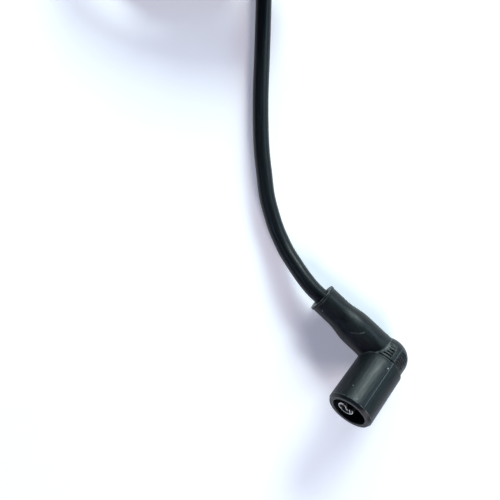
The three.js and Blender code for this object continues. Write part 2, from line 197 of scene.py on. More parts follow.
def feed(tree, value, socket):
    """Gives a socket a plain value, or another node's output."""
    if isinstance(value, bpy.types.NodeSocket):
        tree.links.new(value, socket)
    else:
        socket.default_value = value


def add_node(tree, kind, settings=None, **inputs):
    """A node with its settings and its inputs, each a plain value or another node's output."""
    node = tree.nodes.new(kind)
    for name, value in (settings or {}).items():
        setattr(node, name, value)
    for name, value in inputs.items():
        feed(tree, value, node.inputs[name.replace("_", " ")])
    return node


def maths(tree, operation, *values):
    node = tree.nodes.new("ShaderNodeMath")
    node.operation = operation
    for value, socket in zip(values, node.inputs):
        feed(tree, value, socket)
    return node.outputs[0]


def vector_maths(tree, operation, *values):
    node = tree.nodes.new("ShaderNodeVectorMath")
    node.operation = operation
    for value, socket in zip(values, node.inputs):
        feed(tree, value, socket)
    return node.outputs[0]


def spread(tree, value, low, high, to_low=0.0, to_high=1.0):
    """Maps a range of a value to another, held at both ends."""
    node = add_node(tree, "ShaderNodeMapRange", {"clamp": True}, Value=value, From_Min=low, From_Max=high,
                    To_Min=to_low, To_Max=to_high)
    return node.outputs["Result"]


def blend(tree, share, first, second):
    """A colour between two others, by a share. The node's colour sockets only go by their numbers, because
    those for plain values have the same names."""
    node = add_node(tree, "ShaderNodeMix", {"data_type": "RGBA"})
    for value, index in ((share, 0), (first, 6), (second, 7)):
        feed(tree, value, node.inputs[index])
    return node.outputs[2]


def effect_group(name, inputs, output):
    """An empty effect with named inputs and one named output that changes over the surface."""
    group = bpy.data.node_groups.new(name, "ShaderNodeTree")
    for label, kind in inputs:
        group.interface.new_socket(name=label, in_out="INPUT", socket_type=kind)
    group.interface.new_socket(name=output, in_out="OUTPUT", socket_type="NodeSocketFloat")
    inside = group.nodes.new("NodeGroupInput").outputs
    leave = group.nodes.new("NodeGroupOutput").inputs
    return group, inside, leave[output]


def draw_line_effect():
    """Long fine marks along an extruded or moulded surface, Fine to the millimetre across it."""
    inputs = [("Place", "NodeSocketVector"), ("Fine", "NodeSocketFloat"), ("Stretch", "NodeSocketFloat")]
    group, inside, leave = effect_group("draw_lines", inputs, "Lines")
    along = maths(group, "DIVIDE", inside["Fine"], inside["Stretch"])
    scale = add_node(group, "ShaderNodeCombineXYZ", X=inside["Fine"], Y=inside["Fine"], Z=along).outputs[0]
    place = vector_maths(group, "MULTIPLY", inside["Place"], scale)
    noise = add_node(group, "ShaderNodeTexNoise", Vector=place, Scale=1.0, Detail=3.0, Roughness=0.6)
    feed(group, spread(group, noise.outputs[0], 0.34, 0.66), leave)
    return group


def dust_effect():
    """Sparse small specks of dust, about Spacing millimetres apart and up to Size in radius."""
    inputs = [("Place", "NodeSocketVector"), ("Spacing", "NodeSocketFloat"), ("Size", "NodeSocketFloat")]
    group, inside, leave = effect_group("dust_specks", inputs, "Specks")
    scale = maths(group, "DIVIDE", 1.0, inside["Spacing"])
    cells = add_node(group, "ShaderNodeTexVoronoi", Vector=inside["Place"], Scale=scale)
    chance = add_node(group, "ShaderNodeSeparateColor", Color=cells.outputs["Color"])
    share = maths(group, "POWER", chance.outputs[0], 3.0)
    reach = maths(group, "MULTIPLY", share, maths(group, "MULTIPLY", inside["Size"], scale))
    near = maths(group, "SUBTRACT", reach, cells.outputs["Distance"])
    feed(group, spread(group, maths(group, "DIVIDE", near, scale), 0.0, 0.06), leave)
    return group


def edge_highlight_effect():
    """A painted highlight, slightly broken, along an edge."""
    inputs = [("Place", "NodeSocketVector"), ("Edge", "NodeSocketFloat"), ("Broken", "NodeSocketFloat")]
    group, inside, leave = effect_group("painted_edge_highlight", inputs, "Highlight")
    noise = add_node(group, "ShaderNodeTexNoise", Vector=inside["Place"], Scale=0.9, Detail=2.0)
    gaps = maths(group, "MULTIPLY", spread(group, noise.outputs[0], 0.42, 0.58, 1.0, 0.0), inside["Broken"])
    feed(group, maths(group, "MULTIPLY", inside["Edge"], maths(group, "SUBTRACT", 1.0, gaps)), leave)
    return group


DRAW_LINES = draw_line_effect()
DUST = dust_effect()
EDGE_HIGHLIGHT = edge_highlight_effect()


def effect(tree, group, **inputs):
    """Places an effect in a material with its own values."""
    node = add_node(tree, "ShaderNodeGroup", {"node_tree": group}, **inputs)
    return node.outputs[0]


def surface(name, metallic=0.0, specular=0.5):
    """A new material with its shader, whose plain values are set here."""
    material = bpy.data.materials.new(name)
    material.use_nodes = True
    tree = material.node_tree
    shader = tree.nodes["Principled BSDF"]
    shader.inputs["Metallic"].default_value = metallic
    shader.inputs["Specular IOR Level"].default_value = specular
    return material, tree, shader


def give(piece, material):
    piece.data.materials.append(material)


def jacket_material():
    material, tree, shader = surface("silicone_jacket", specular=0.28)
    place = add_node(tree, "ShaderNodeAttribute", {"attribute_name": "grain"}).outputs["Vector"]
    lines = effect(tree, DRAW_LINES, Place=place, Fine=2.2, Stretch=26.0)
    specks = effect(tree, DUST, Place=place, Spacing=5.5, Size=0.42)
    tone = blend(tree, lines, *JACKET_TONES)
    feed(tree, blend(tree, specks, tone, JACKET_DUST), shader.inputs["Base Color"])
    feed(tree, spread(tree, lines, 0.0, 1.0, *JACKET_ROUGHNESS), shader.inputs["Roughness"])
    height = maths(tree, "ADD", maths(tree, "MULTIPLY", lines, 0.5), specks)
    bump = add_node(tree, "ShaderNodeBump", Strength=0.35, Distance=0.00006, Height=height)
    feed(tree, bump.outputs[0], shader.inputs["Normal"])
    return material


def cable_rings(path):
    """Rings of points square to the path, each turned as little as possible from the one before."""
    ahead = np.gradient(path, axis=0)
    ahead /= np.linalg.norm(ahead, axis=1)[:, None]
    side = np.array([0.0, 0.0, 1.0])
    turns = np.linspace(0.0, 2 * math.pi, CABLE_SIDES, endpoint=False)
    rings = []
    for centre, direction in zip(path, ahead):
        side = side - direction * (side @ direction)
        side /= np.linalg.norm(side)
        other = np.cross(direction, side)
        around = np.outer(np.cos(turns), side) + np.outer(np.sin(turns), other)
        rings.append(centre + CABLE_RADIUS * around)
    return np.concatenate(rings), turns


def add_cable():
    inside = [tuple(COIL_END @ Vector((s, 0.0, 0.0))) for s in SLEEVE_STATIONS]
    plug = [tuple(PLUG_END @ Vector((0.0, 0.0, s))) for s in PLUG_STATIONS]
    path, run = spline_points(inside + LEAD_ROUTE + coil_points() + plug, CABLE_STEP)
    rings, turns = cable_rings(path)
    verts = np.vstack([rings, path[:1], path[-1:]])
    round_it = CABLE_RADIUS * np.stack([np.cos(turns), np.sin(turns)], 1)
    along = np.repeat(run, CABLE_SIDES)[:, None]
    ends = [[0, 0, 0], [0, 0, run[-1]]]
    grain = np.vstack([np.hstack([np.tile(round_it, (len(path), 1)), along]), ends])
    faces = grid_faces(len(path), CABLE_SIDES)
    faces += fan_faces(len(verts) - 2, 0, CABLE_SIDES)
    faces += fan_faces(len(verts) - 1, len(rings) - CABLE_SIDES, CABLE_SIDES)
    piece = link_mesh("ignition_cable", verts, faces, grain=grain)
    return piece, [tuple(p) for p in path * MM], run[-1] * MM


cable, cable_path, cable_length = add_cable()
give(cable, jacket_material())
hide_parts("lead_cable", "cable_coil", "cable_tail")


# Coil boot
# A right-angle boot of one piece of silicone rubber, pressed in a two-part mould that leaves a fine raised
# line along it. The barrel has a turned shoulder, the elbow has grip grooves, and the sleeve flows into it.

# The barrel, along its axis from the middle of the sleeve
MOUTH = 30.5
BARREL_FROM = 5.5
BARREL_WIDENS_OVER = 23.0
BARREL_REAR = 9.8
BARREL_FRONT = 9.9
BORE_RADIUS = 7.4
BORE_FLOOR = 8.0
STEP_AT = 5.0
SHOULDER_LENGTH = 1.2
SHOULDER_DROP = 0.55
SHOULDER_FADE = 0.6
ELBOW_RADIUS = 9.0
DOME_RADIUS = 8.0
DOME_AT = (1.0, -0.2)
# The steps round it are closer here: the middle, the reach to each side and the step, in degrees
CLOSER_STEPS = [(90.0, 16.0, 1.0), (95.5, 2.5, 0.25), (134.0, 6.0, 1.0)]
# The grip grooves, which end at a plain band with the mould line along it
GRIP_MIDDLES = [3.1 - 1.3 * i for i in range(5)]
GROOVE_DEPTH = 0.5
GROOVE_HALF_WIDTH = 0.36
GROOVE_END = 0.35
BAND_FRONT = 1.1
BAND_BACK = -1.55
GRIP_BACK = -6.3
GRIP_BACK_END = 0.9
MOULD_LINE = -0.95
MOULD_LINE_RISE = 0.09
MOULD_LINE_WIDTH = 0.15
MOULD_LINE_FROM = 7.5
# The mould line carries a painted highlight of this strength and this width
MOULD_LINE_HIGHLIGHT = 0.25
MOULD_HIGHLIGHT_WIDTH = 0.14
# The sleeve, along its own axis from the barrel's
SLEEVE_SIDES = 168
SLEEVE_WAIST = 7.6
SLEEVE_FLARE = 0.8
FLARE_FADE = 1.9
JOIN_AT = 4.0
FILLET = 0.7
FILLET_STEPS = 8
FILLET_SINK = 0.03
# The fillet's middle carries a painted highlight line of this strength and width
FILLET_HIGHLIGHT = 0.6
FILLET_HIGHLIGHT_WIDTH = 0.09
FLOW_STEPS = 7
ROUND_FROM = 12.0
TAPER_FROM = 17.7
TAPER_LENGTH = 10.8
TAPER_DEPTH = 1.3
NECK_RADIUS = 6.3
WAY_RADIUS = 3.8
WAY_END = 30.0
# The witness line bends round the sleeve, and its turns are in degrees
CREASE_AT = 15.6
CREASE_BEND = 0.00285
CREASE_MIDDLE = 170.0
CREASE_FROM = 127.0
CREASE_TO = 164.0
CREASE_FADE = 5.0
CREASE_WIDTH = 0.16
CREASE_RISE = 0.12
SLEEVE_GRAIN_AT = (40.0, 40.0, 0.0)
RUBBER_TONES = ((0.0016, 0.0027, 0.0031, 1.0), (0.0074, 0.0108, 0.0117, 1.0))
# A pale colour painted along the rubber's edges, mould lines, fillet, crease and rib crests as a painted
# highlight
RUBBER_EDGE_HIGHLIGHT = (0.15, 0.165, 0.17, 1.0)
RUBBER_DUST = (0.26, 0.28, 0.28, 1.0)
RUBBER_ROUGHNESS = (0.31, 0.43)
CLOUD_ROUGHNESS = 0.06


def arc(centre, radius, start, stop, steps):
    """Points on an arc, in a profile's own plane."""
    angles = np.radians(np.linspace(start, stop, steps + 1))
    return [(centre[0] + radius * math.cos(a), centre[1] + radius * math.sin(a)) for a in angles]


def ring(radius, angle, height):
    """Points round the axis at a height, from one radius or a radius for each angle."""
    return np.stack([radius * np.cos(angle), radius * np.sin(angle), np.full_like(angle, height)], 1)


def barrel_profile():
    """Radius, height, strength of the painted highlight along an edge and whether the mould line runs
    there, from the elbow's end over the mouth and down the bore."""
    dome = arc(DOME_AT, DOME_RADIUS, -89.0, 0.0, 26)
    body = [(ELBOW_RADIUS, z) for z in np.arange(0.0, 4.25, 0.1)]
    groove = [(8.95, 4.3), (8.7, 4.4), (8.6, 4.55), (8.6, 4.8), (8.66, 4.96), (9.1, STEP_AT)]
    step = arc((9.3, BARREL_FROM), 0.5, -90.0, 0.0, 6)
    barrel = []
    for z in np.linspace(6.0, 28.8, 20):
        share = (z - BARREL_FROM) / BARREL_WIDENS_OVER
        barrel.append((BARREL_REAR + (BARREL_FRONT - BARREL_REAR) * share, z))
    rim = arc((9.55, 29.1), 0.35, 0.0, 31.6, 4) + [(9.6, 29.68), (9.35, 30.07)]
    lip = arc((8.95, 30.25), 0.25, 31.6, 90.0, 4)
    face = [(radius, MOUTH) for radius in (8.6, 8.1, 7.8)]
    bore_edge = arc((7.7, MOUTH - 0.3), 0.3, 90.0, 180.0, 4)
    bore = [(BORE_RADIUS, z) for z in np.linspace(29.6, BORE_FLOOR, 18)]
    floor = [(radius, BORE_FLOOR) for radius in (5.0, 2.5)]
    outer = ((dome, ()), (body, ()), (groove, ()), (step, (2, 3, 4)), (barrel, ()))
    inner = ((rim, (1, 2, 3)), (lip, (2,)), (face, ()), (bore_edge, (1, 2)), (bore, ()), (floor, ()))
    rows = []
    for stretches, lined in ((outer, True), (inner, False)):
        for points, highlit in stretches:
            rows += [(*point, float(index in highlit), lined) for index, point in enumerate(points)]
    return rows


def barrel_angles():
    """Angles round the barrel, closer at the mould lines and where the grooves end."""
    degrees = set(np.arange(0.0, 360.0, 3.0))
    for middle, reach, step in CLOSER_STEPS:
        for centre in (middle, 360.0 - middle):
            degrees |= set(np.round(np.arange(centre - reach, centre + reach + 0.01, step), 3))
    return np.radians(sorted(degrees))


def step_up(value, start, width):
    return np.clip((value - start) / width, 0.0, 1.0)


def thin_line(distance, width):
    """One on a line, falling softly to nothing beside it."""
    return np.exp(-((distance / width) ** 2))


def barrel_relief(radius, height, x):
    """How far the rubber stands above the turned form: grooves below it, the mould line above it."""
    relief = np.zeros_like(x)
    if radius > MOULD_LINE_FROM:
        relief += MOULD_LINE_RISE * thin_line(x - MOULD_LINE, MOULD_LINE_WIDTH)
    if height < STEP_AT:
        front = step_up(x, BAND_FRONT, GROOVE_END)
        back = step_up(-x, -BAND_BACK, GROOVE_END) * step_up(x, GRIP_BACK, GRIP_BACK_END)
        groove = sum(max(0.0, 1.0 - ((height - m) / GROOVE_HALF_WIDTH) ** 2) ** 0.8 for m in GRIP_MIDDLES)
        relief -= GROOVE_DEPTH * groove * (front + back)
    else:
        shoulder = max(0.0, 1.0 - (height - STEP_AT) / SHOULDER_LENGTH)
        relief -= SHOULDER_DROP * shoulder * step_up(x, MOULD_LINE, SHOULDER_FADE)
    return relief


def barrel_mesh():
    angle = barrel_angles()
    rows = barrel_profile()
    verts = []
    edges = []
    for radius, height, edge, lined in rows:
        x = radius * np.cos(angle)
        relief = barrel_relief(radius, height, x) if lined else 0.0
        painted_highlight = MOULD_LINE_HIGHLIGHT * thin_line(x - MOULD_LINE, MOULD_HIGHLIGHT_WIDTH) if lined else 0.0
        verts.append(ring(radius + relief, angle, height))
        edges.append(np.maximum(np.full_like(angle, edge), painted_highlight))
    count = len(angle)
    tail = DOME_AT[1] - DOME_RADIUS
    verts = np.vstack([*verts, [[0.0, 0.0, tail], [0.0, 0.0, BORE_FLOOR]]])
    faces = grid_faces(len(rows), count)
    faces += fan_faces(len(verts) - 2, 0, count)
    faces += fan_faces(len(verts) - 1, (len(rows) - 1) * count, count)
    return verts, faces, np.append(np.concatenate(edges), [0.0, 0.0])


def body_radius(z):
    """The turned body's radius beside the sleeve, at a height along the barrel's axis."""
    if z > STEP_AT:
        return ELBOW_RADIUS + (BARREL_REAR - ELBOW_RADIUS) * ease((z - STEP_AT) / SHOULDER_LENGTH)
    if z > DOME_AT[1]:
        return ELBOW_RADIUS
    return DOME_AT[0] + math.sqrt(max(DOME_RADIUS ** 2 - (z - DOME_AT[1]) ** 2, 0.0))


def sleeve_start(radius, turn):
    """Where a line along the sleeve at this radius meets the turned body."""
    y = radius * math.cos(turn)
    z = radius * math.sin(turn)
    return np.array([math.sqrt(max(body_radius(z) ** 2 - y * y, 0.0)), y, z])


def sleeve_radius(s):
    return SLEEVE_WAIST + SLEEVE_FLARE * math.exp(-(s + FILLET) / FLARE_FADE)


def sleeve_profile():
    """Radius, distance along the sleeve and strength of the painted highlight along an edge, past where it
    flows from the elbow.
    """
    lengths = [*np.linspace(12.5, 15.0, 4), *np.arange(15.2, 22.0, 0.12), *np.linspace(22.2, 28.5, 13)]
    taper = [(SLEEVE_WAIST - TAPER_DEPTH * ease((s - TAPER_FROM) / TAPER_LENGTH), s, 0.0) for s in lengths]
    neck = [(NECK_RADIUS, s, 0.0) for s in np.linspace(29.5, 36.2, 8)]
    lip = [(6.31, 36.55, 0.0), (6.38, 36.72, 0.0)]
    lip += [(*p, 0.2) for p in arc((6.33, 36.98), 0.24, -50.0, 0.0, 3)]
    lip += [(6.57, 37.3, 0.0), (6.57, 37.6, 0.0), (6.5, 37.83, 1.0), (6.38, SLEEVE_END, 0.0)]
    flare = [(5.7, SLEEVE_END, 0.0), (5.1, SLEEVE_END, 0.0), (4.85, 37.86, 0.8), (4.6, 37.8, 0.0)]
    flare += [(*p, 0.0) for p in arc((4.9, 36.9), 1.0, 115.0, 180.0, 4)]
    way = [(WAY_RADIUS, 34.0, 0.0), (WAY_RADIUS, WAY_END, 0.0)]
    return taper + neck + lip + flare + way


def crease(s, degrees):
    """The short curved witness line that the mould's insert leaves where the sleeve starts to taper. It
    stands a little proud and carries a painted highlight.
    """
    off_line = s - (CREASE_AT + CREASE_BEND * (CREASE_MIDDLE - degrees) ** 2)
    window = step_up(degrees, CREASE_FROM, CREASE_FADE) * step_up(-degrees, -CREASE_TO, CREASE_FADE)
    return window * thin_line(off_line, CREASE_WIDTH)


def fillet_rows(turns, joins):
    """The small fillet between the elbow and the sleeve, and the painted highlight line along its middle.
    """
    verts = []
    edges = []
    for t in np.linspace(0.0, 1.0, FILLET_STEPS + 1):
        for turn, corner in zip(turns, joins):
            low = sleeve_start(sleeve_radius(JOIN_AT) + FILLET, turn)
            low = low * (1.0 - FILLET_SINK / np.linalg.norm(low))
            high = corner + np.array([FILLET, 0.0, 0.0])
            verts.append((1 - t) ** 2 * low + 2 * t * (1 - t) * corner + t * t * high)
            edges.append(FILLET_HIGHLIGHT * thin_line(t - 0.5, FILLET_HIGHLIGHT_WIDTH))
    return verts, edges


def flow_rows(turns, joins):
    """From the fillet's uneven end to a round section across the sleeve."""
    verts = []
    for step in range(1, FLOW_STEPS + 1):
        share = step / FLOW_STEPS
        grow = min(share * 3.0, 1.0)
        for turn, corner in zip(turns, joins):
            s = (corner[0] + FILLET) * (1.0 - share) + ROUND_FROM * share
            radius = sleeve_radius(JOIN_AT) * (1.0 - grow) + sleeve_radius(s) * grow
            verts.append(np.array([s, radius * math.cos(turn), radius * math.sin(turn)]))
    return verts


def sleeve_mesh():
    turns = np.linspace(0.0, 2 * math.pi, SLEEVE_SIDES, endpoint=False)
    joins = [sleeve_start(sleeve_radius(JOIN_AT), turn) for turn in turns]
    verts, edges = fillet_rows(turns, joins)
    verts += flow_rows(turns, joins)
    edges += [0.0] * (FLOW_STEPS * SLEEVE_SIDES)
    for radius, s, edge in sleeve_profile():
        line = crease(s, np.degrees(turns))
        verts.extend(ring(radius + CREASE_RISE * line, turns, s)[:, [2, 0, 1]])
        edges.extend(np.maximum(edge, line))
    rows = len(verts) // SLEEVE_SIDES
    verts = np.vstack([verts, [[0.0, 0.0, 0.0], [WAY_END, 0.0, 0.0]]])
    faces = grid_faces(rows, SLEEVE_SIDES)
    faces += fan_faces(len(verts) - 2, 0, SLEEVE_SIDES)
    faces += fan_faces(len(verts) - 1, (rows - 1) * SLEEVE_SIDES, SLEEVE_SIDES)
    return verts, faces, np.append(edges, [0.0, 0.0])


def rubber_material():
    material, tree, shader = surface("moulded_rubber", specular=0.25)
    place = add_node(tree, "ShaderNodeAttribute", {"attribute_name": "grain"}).outputs["Vector"]
    edge = add_node(tree, "ShaderNodeAttribute", {"attribute_name": "edge"}).outputs["Fac"]
    lines = effect(tree, DRAW_LINES, Place=place, Fine=1.5, Stretch=12.0)
    clouds = effect(tree, DRAW_LINES, Place=place, Fine=0.22, Stretch=2.0)
    fine = effect(tree, DRAW_LINES, Place=place, Fine=9.0, Stretch=1.5)
    specks = effect(tree, DUST, Place=place, Spacing=3.8, Size=0.4)
    # Painted highlights in a pale colour along the edges that the edge attribute marks
    painted_highlight = effect(tree, EDGE_HIGHLIGHT, Place=place, Edge=edge, Broken=0.75)
    highlit = blend(tree, painted_highlight, blend(tree, lines, *RUBBER_TONES), RUBBER_EDGE_HIGHLIGHT)
    feed(tree, blend(tree, specks, highlit, RUBBER_DUST), shader.inputs["Base Color"])
    rough = spread(tree, lines, 0.0, 1.0, *RUBBER_ROUGHNESS)
    rough = maths(tree, "ADD", rough, maths(tree, "MULTIPLY", clouds, CLOUD_ROUGHNESS))
    feed(tree, rough, shader.inputs["Roughness"])
    height = maths(tree, "ADD", maths(tree, "MULTIPLY", lines, 0.6), maths(tree, "MULTIPLY", fine, 0.25))
    height = maths(tree, "ADD", height, specks)
    bump = add_node(tree, "ShaderNodeBump", Strength=0.4, Distance=0.00008, Height=height)
    feed(tree, bump.outputs[0], shader.inputs["Normal"])
    return material


def add_coil_boot():
    barrel, faces, barrel_edge = barrel_mesh()
    sleeve, more, sleeve_edge = sleeve_mesh()
    faces += [tuple(k + len(barrel) for k in face) for face in more]
    grain = np.vstack([barrel, sleeve[:, [1, 2, 0]] + SLEEVE_GRAIN_AT])
    edge = np.append(barrel_edge, sleeve_edge)
    return link_mesh("coil_boot_rubber", np.vstack([barrel, sleeve]), faces, COIL_END, grain, edge)


RUBBER = rubber_material()
coil_boot = add_coil_boot()
give(coil_boot, RUBBER)
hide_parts("coil_boot")


# Coil terminal
# A socket pressed from tin-plated spring steel sheet and rolled into an open C, with its inner edges curled
# into springs. A strap runs from it round the elbow to the crimp on the cable.
SHEET = 0.5
SOCKET_RADIUS = 3.45
SOCKET_OFFSET = 1.8
SOCKET_TOP = 30.3
SOCKET_LENGTH = 16.0
SPRING_LENGTH = 9.0
SPRING_STEPS = 24
ROLL_FROM = -39.0
ROLL_TO = 236.0
ROLL_STEPS = 48
CRIMP_RADIUS = 4.3
CRIMP_GAP = 1.6
CRIMP_SPAN = (3.5, 11.5)
LINK_HALF_WIDTH = 1.2
LINK_BEND = 2.0
LINK_OVERLAP = 2.0
LINK_END = 5.5
TONGUE_CURL = [(3.0, 0.5), (2.0, -1.4), (1.0, -1.35), (-0.1, -0.25), (-1.1, 0.25)]
EDGE_FOLD = [(-2.95, 0.7), (-1.05, -1.6)]
# A sheared edge: how far from it, how much thinner the sheet is, and how bright its painted glint is
SHEARED_EDGE = [(0.0, 0.16, 1.0), (0.05, 0.05, 0.4), (0.16, 0.0, 0.0)]
# The plated sheet gets a dull dark tone as painted shade, because the sockets sit deep inside the boots
STEEL_SHADED_TONES = ((0.10, 0.10, 0.10, 1.0), (0.20, 0.20, 0.19, 1.0))
# The sheared edges carry a painted glint in this pale colour
STEEL_EDGE_GLINT = (0.55, 0.55, 0.54, 1.0)
STEEL_ROUGHNESS = (0.26, 0.42)


def sheet_outline(points):
    """The outline of a strip of sheet, with round edges, whose middle follows a run of 2-D points."""
    p = np.array(points, float)
    along = np.gradient(p, axis=0)
    along /= np.linalg.norm(along, axis=1)[:, None]
    across = np.stack([-along[:, 1], along[:, 0]], 1) * SHEET / 2
    caps = []
    for end, direction in ((-1, 1.0), (0, -1.0)):
        for lean in np.radians([45.0, 90.0, 135.0]):
            out = across[end] * math.cos(lean) + along[end] * SHEET / 2 * math.sin(lean)
            caps.append(p[end] + direction * out)
    return np.vstack([p + across, caps[:3], (p - across)[::-1], caps[3:]])


def sheet_strip(points, low, high):
    """Verts, faces and painted glints on the sheared edges of a strip of sheet that stands from low to
    high, its edges eased.
    """
    outline = sheet_outline(points)
    count = len(outline)
    run = np.array(points, float)
    nearest = run[np.argmin(np.linalg.norm(outline[:, None] - run[None], axis=2), axis=1)]
    inward = nearest - outline
    inward /= np.maximum(np.linalg.norm(inward, axis=1), 1e-6)[:, None]
    levels = [(low + away, inset, bright) for away, inset, bright in SHEARED_EDGE]
    levels += [(high - away, inset, bright) for away, inset, bright in SHEARED_EDGE[::-1]]
    verts = []
    for height, inset, _ in levels:
        verts.append(np.hstack([outline + inward * inset, np.full((count, 1), height)]))
    last = (len(levels) - 1) * count
    faces = grid_faces(len(levels), count)
    faces += [tuple(range(count)), tuple(range(last, last + count))[::-1]]
    return np.vstack(verts), faces, np.repeat([bright for _, _, bright in levels], count)


def smooth_run(points, count):
    """A soft curve through a few 2-D points."""
    flat = [(x, y, 0.0) for x, y in points]
    path, _ = spline_points(flat, 0.01)
    return path[np.linspace(0, len(path) - 1, count).astype(int), :2]


def joined(parts):
    """One set of verts, faces and painted edge glints from several."""
    verts = []
    faces = []
    bright = []
    shift = 0
    for points, polygons, edges in parts:
        verts.append(points)
        bright.append(edges)
        faces += [tuple(k + shift for k in polygon) for polygon in polygons]
        shift += len(points)
    return np.vstack(verts), faces, np.concatenate(bright)


def moved(part, shift=(0.0, 0.0, 0.0), columns=(0, 1, 2), signs=(1.0, 1.0, 1.0)):
    """A part with its axes swapped by their columns, some turned about, and then shifted."""
    points, faces, bright = part
    return points[:, list(columns)] * signs + shift, faces, bright


def steel_material():
    material, tree, shader = surface("tinned_steel", metallic=1.0)
    place = add_node(tree, "ShaderNodeAttribute", {"attribute_name": "grain"}).outputs["Vector"]
    edge = add_node(tree, "ShaderNodeAttribute", {"attribute_name": "edge"}).outputs["Fac"]
    lines = effect(tree, DRAW_LINES, Place=place, Fine=6.0, Stretch=14.0)
    clouds = effect(tree, DRAW_LINES, Place=place, Fine=0.8, Stretch=1.0)
    tone = blend(tree, clouds, *STEEL_SHADED_TONES)
    feed(tree, blend(tree, edge, tone, STEEL_EDGE_GLINT), shader.inputs["Base Color"])
    feed(tree, spread(tree, lines, 0.0, 1.0, *STEEL_ROUGHNESS), shader.inputs["Roughness"])
    bump = add_node(tree, "ShaderNodeBump", Strength=0.3, Distance=0.00003, Height=lines)
    feed(tree, bump.outputs[0], shader.inputs["Normal"])
    return material


def crimp_strip(low, high):
    """The crimp rolled round the cable, open along its seam."""
    half_gap = math.degrees(CRIMP_GAP / 2 / CRIMP_RADIUS)
    middle = arc((0.0, 0.0), CRIMP_RADIUS - SHEET / 2, half_gap - 180.0, 180.0 - half_gap, ROLL_STEPS)
    return sheet_strip(middle, low, high)


def coil_terminal_mesh():
    socket_low = SOCKET_TOP - SOCKET_LENGTH
    roll = arc((0.0, 0.0), SOCKET_RADIUS - SHEET / 2, ROLL_FROM, ROLL_TO, ROLL_STEPS)
    strips = [sheet_strip(roll, socket_low, SOCKET_TOP)]
    for run in (TONGUE_CURL, EDGE_FOLD):
        strips.append(sheet_strip(smooth_run(run, SPRING_STEPS), SOCKET_TOP - SPRING_LENGTH, SOCKET_TOP))
    standing = [moved(part, (SOCKET_OFFSET, 0.0, 0.0)) for part in strips]
    wall = SOCKET_OFFSET - SOCKET_RADIUS + SHEET / 2
    floor_at = SHEET / 2 - CRIMP_RADIUS
    bend = arc((wall + LINK_BEND, floor_at + LINK_BEND), LINK_BEND, 180.0, 270.0, 10)
    run = [(wall, socket_low + LINK_OVERLAP), *bend, (LINK_END, floor_at)]
    link = moved(sheet_strip(run, -LINK_HALF_WIDTH, LINK_HALF_WIDTH), columns=(0, 2, 1))
    return joined([*standing, link, moved(crimp_strip(*CRIMP_SPAN), columns=(2, 1, 0))])


STEEL = steel_material()
socket_verts, socket_faces, edge_glints = coil_terminal_mesh()
coil_socket = link_mesh("coil_socket", socket_verts, socket_faces, COIL_END, socket_verts, edge_glints)
give(coil_socket, STEEL)
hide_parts("coil_terminal")


# Plug boot
# A straight boot of the same rubber that slides over the plug's insulator. It has a lip at the cable, three
# finger ribs and a stiff bead round its mouth, and its mould line runs along both sides.
PLUG_SIDES = 120
PLUG_MOUTH = 60.0
PLUG_NECK_RADIUS = 6.25
PLUG_BODY_RADIUS = 9.2
PLUG_BORE_RADIUS = 6.6
PLUG_BORE_FLOOR = 28.0
PLUG_TAPER_FROM = 9.0
PLUG_TAPER_LENGTH = 11.0
RIB_COUNT = 3
RIB_FIRST = 38.7
RIB_PITCH = 3.2
RIB_HEIGHT = 0.3
RIB_HALF_WIDTH = 0.75
RIB_CREST = 0.2
PLUG_LINE_FROM = 2.0
PLUG_LINE_TO = 55.0
PLUG_LINE_WIDTH = 0.25
PLUG_LINE_RISE = 0.08
PLUG_GRAIN_AT = (80.0, 0.0, 0.0)


def plug_ribs():
    """The finger ribs, each with a painted highlight along its crest."""
    ribs = []
    for i in range(RIB_COUNT):
        for off in np.linspace(-RIB_HALF_WIDTH, RIB_HALF_WIDTH, 11):
            radius = PLUG_BODY_RADIUS + RIB_HEIGHT * ease(1.0 - abs(off) / RIB_HALF_WIDTH)
            ribs.append((radius, RIB_FIRST + RIB_PITCH * i + off, 0.35 * (abs(off) < RIB_CREST)))
    return ribs


def plug_profile():
    """Radius, height and strength of the painted highlight along an edge, for the cable's way out, the
    outside and the bore.
    """
    way = [(WAY_RADIUS, 9.0, 0.0), (WAY_RADIUS, 3.0, 0.0)]
    way += [(*p, 0.2) for p in arc((4.8, 1.0), 1.0, 180.0, 270.0, 5)]
    lip = [(*p, 0.8) for p in arc((6.3, 0.25), 0.25, -90.0, 0.0, 4)] + [(6.55, 0.8, 0.2)]
    lip += [(*p, 0.6) for p in arc((6.35, 1.0), 0.2, 0.0, 70.0, 3)] + [(6.27, 1.5, 0.0)]
    taper = [(PLUG_NECK_RADIUS, 2.5, 0.0)]
    for z in np.linspace(8.5, 20.5, 20):
        widened = ease((z - PLUG_TAPER_FROM) / PLUG_TAPER_LENGTH)
        taper.append((PLUG_NECK_RADIUS + (PLUG_BODY_RADIUS - PLUG_NECK_RADIUS) * widened, z, 0.0))
    body = [(PLUG_BODY_RADIUS, z, 0.0) for z in np.linspace(22.0, 37.0, 10)]
    plain = [(PLUG_BODY_RADIUS, z, 0.0) for z in np.linspace(47.5, 55.5, 6)]
    bead = [(*p, 0.4) for p in arc((9.3, 56.9), 0.6, -60.0, 0.0, 4)] + [(9.9, 58.4, 0.0)]
    bead += [(*p, 0.7) for p in arc((9.3, PLUG_MOUTH - 0.6), 0.6, 0.0, 90.0, 6)]
    face = [(radius, PLUG_MOUTH, 0.05) for radius in (8.4, 7.4)]
    bore = [(*p, 0.6) for p in arc((7.0, PLUG_MOUTH - 0.4), 0.4, 90.0, 180.0, 4)]
    bore += [(PLUG_BORE_RADIUS, z, 0.0) for z in np.linspace(58.0, PLUG_BORE_FLOOR, 12)]
    bore.append((4.0, PLUG_BORE_FLOOR, 0.0))
    return way, lip + taper + body + plug_ribs() + plain + bead + face, bore


